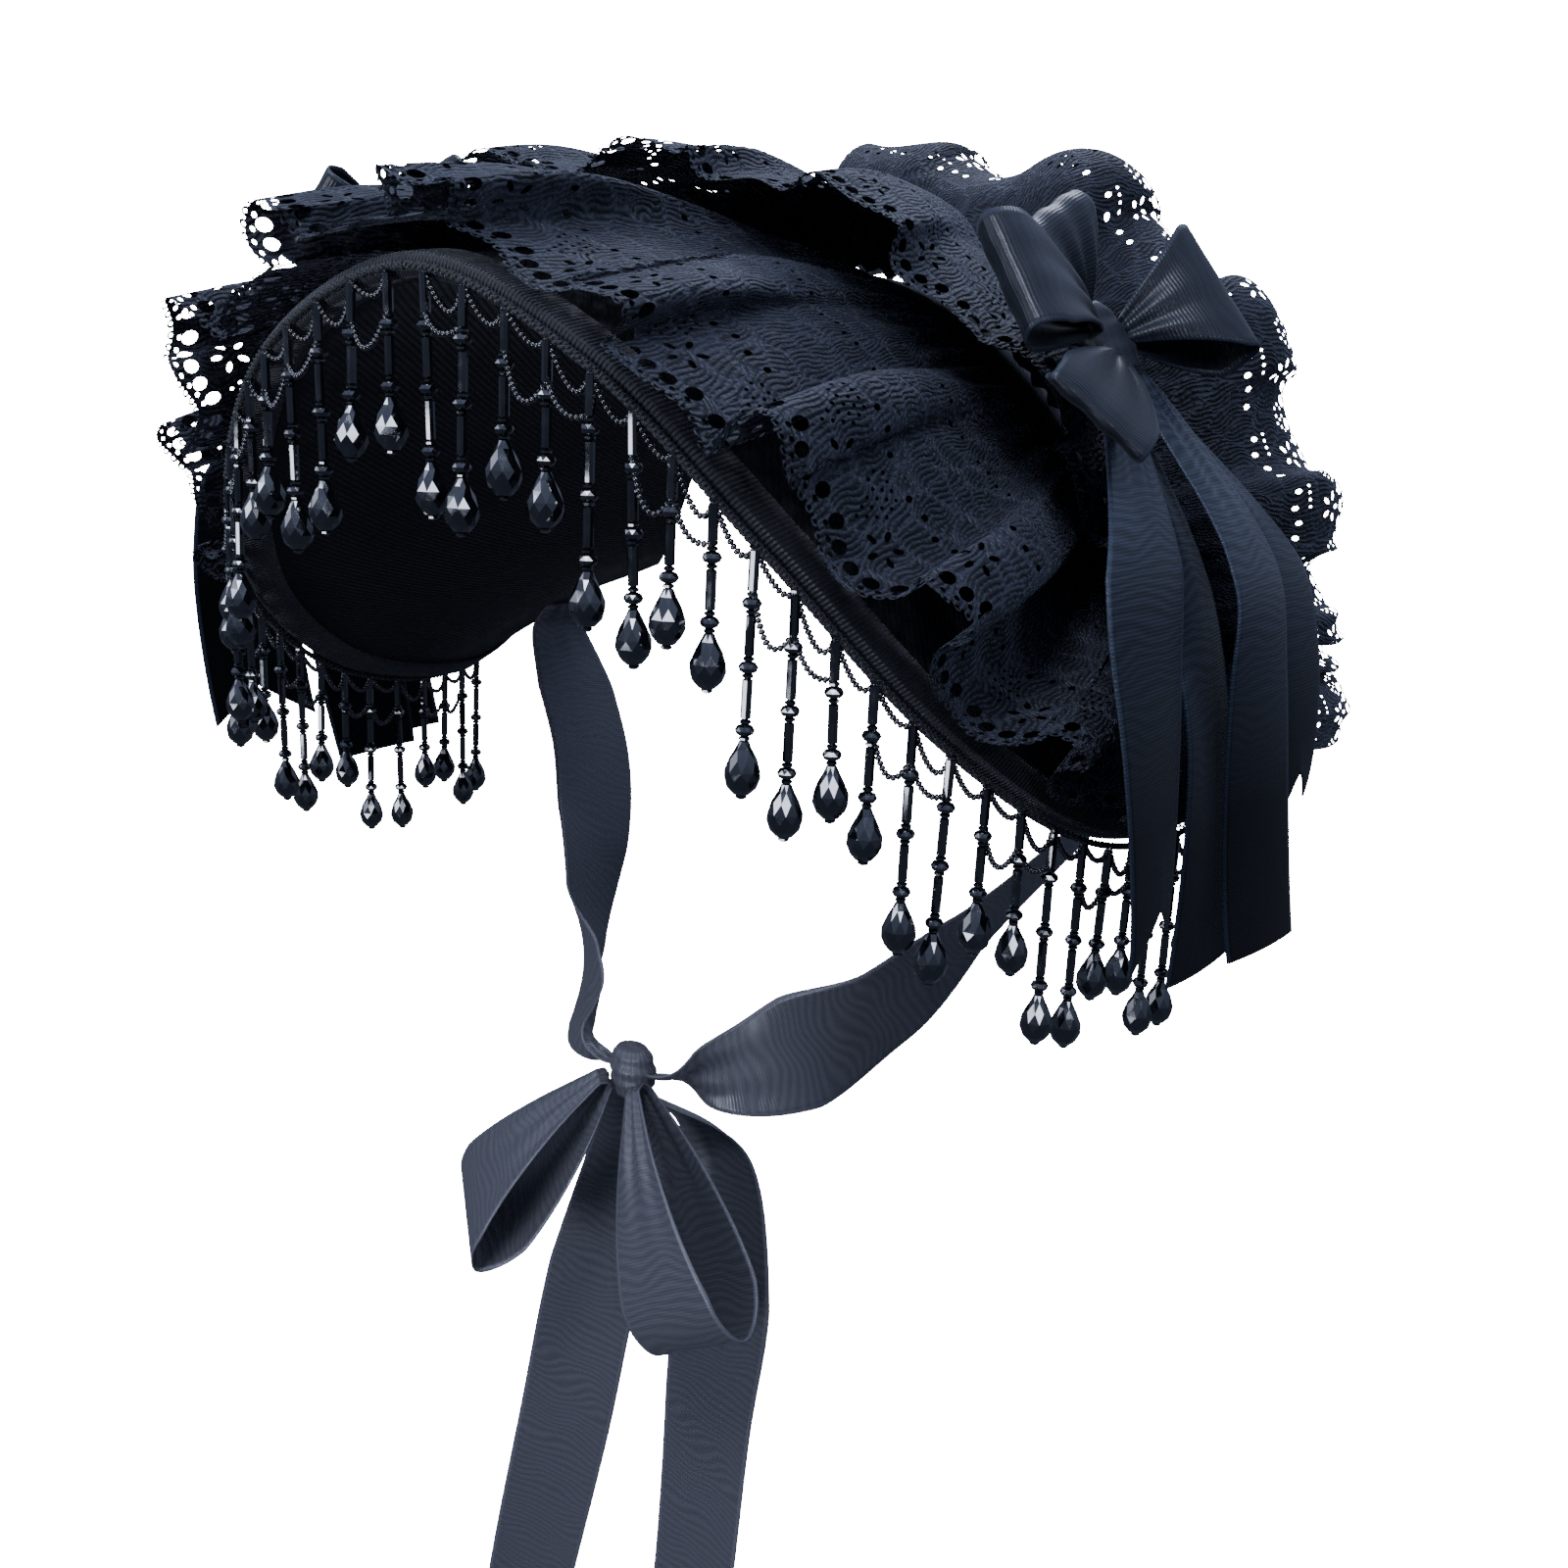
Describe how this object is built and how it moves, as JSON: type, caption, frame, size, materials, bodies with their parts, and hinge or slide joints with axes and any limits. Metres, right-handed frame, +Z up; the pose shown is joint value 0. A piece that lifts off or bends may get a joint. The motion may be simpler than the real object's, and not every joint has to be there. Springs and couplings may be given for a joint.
{
  "type": "lace bonnet with beaded fringe",
  "caption": "Forward-flaring bonnet with gathered lace tiers, a fringe of faceted drops along the brim, ribbon bows at both sides and ribbons tied in a bow under the chin",
  "frame": {"origin": "the crown seat, where the underside of the brim rests on the top of the head", "axes": "+Z up, the wearer faces -Y, the wearer's left is +X"},
  "size_m": [0.345, 0.2603, 0.5422],
  "materials": {
    "twill": "black cotton twill over a stiffened board, matt with fine diagonal ribs",
    "grosgrain": "black ribbed binding with a cool blue-grey sheen",
    "lace": "black scalloped lace, matt thread with eyelets and a looped edge",
    "satin": "black satin ribbon with a soft sheen and faint watermark waves",
    "jet_glass": "opaque jet glass, faceted and highly polished"
  },
  "bodies": {
    "root": {"brim": "twill", "brim_binding": "grosgrain", "fringe_left": "jet_glass", "fringe_right": "jet_glass", "lace_front": "lace", "lace_flap": "lace", "lace_back": "lace", "bow_left_knot": "satin", "bow_left_loop_back": "satin", "bow_left_loop_front": "satin", "bow_left_loop_top": "satin", "bow_left_loop_low": "satin", "bow_left_tail_one": "satin", "bow_left_tail_two": "satin", "bow_left_tail_three": "satin", "bow_left_tail_four": "satin", "bow_right_knot": "satin", "bow_right_loop_back": "satin", "bow_right_loop_front": "satin", "bow_right_loop_top": "satin", "bow_right_loop_low": "satin", "bow_right_tail_one": "satin", "bow_right_tail_two": "satin", "bow_right_tail_three": "satin", "bow_right_tail_four": "satin", "chin_ribbon_left": "satin", "chin_ribbon_right": "satin", "chin_knot": "satin", "chin_loop_left": "satin", "chin_loop_right": "satin", "chin_tail_left": "satin", "chin_tail_right": "satin"}
  },
  "joints": []
}
